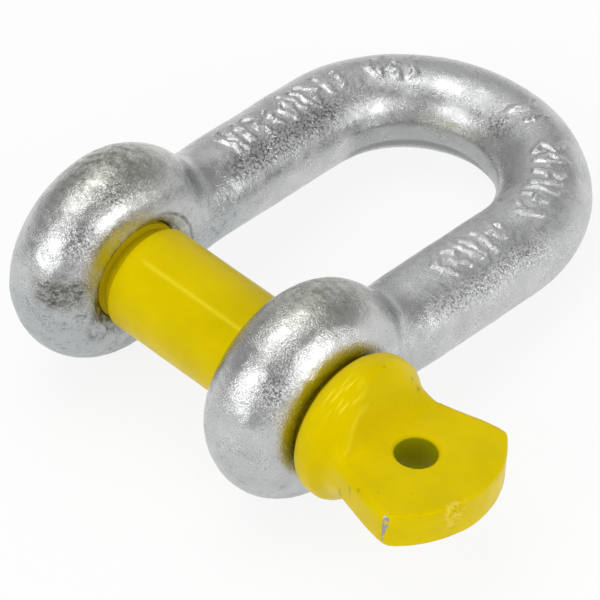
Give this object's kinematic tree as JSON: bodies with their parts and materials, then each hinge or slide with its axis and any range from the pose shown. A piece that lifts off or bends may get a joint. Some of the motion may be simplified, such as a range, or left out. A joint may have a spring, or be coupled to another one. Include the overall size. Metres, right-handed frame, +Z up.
{
  "type": "screw pin dee shackle",
  "caption": "D-shaped chain shackle whose jaw is closed by a removable screw pin with a collar and a flattened eye tab.",
  "frame": {"origin": "on the ground, under the middle of the box round the shackle as it lies", "axes": "+X along the pin towards its head, +Y level and towards the crown, +Z up; the plane of the bow slopes down by 9.3 degrees from the pin to the crown"},
  "size_m": [0.1076, 0.1152, 0.0459],
  "materials": {
    "galvanised_steel": "hot-dip galvanised forging, satin zinc with an orange-peel surface",
    "yellow_paint": "semi-gloss yellow paint on steel, chipped along the edges of the tab"
  },
  "bodies": {
    "shackle_body": {"shackle_body": "galvanised_steel"},
    "screw_pin": {"screw_pin": "yellow_paint"}
  },
  "joints": [
    {"name": "pin_withdraw", "type": "slide", "parent": "shackle_body", "child": "screw_pin", "axis": [1, 0, 0], "range_m": [0, 0.076]}
  ]
}
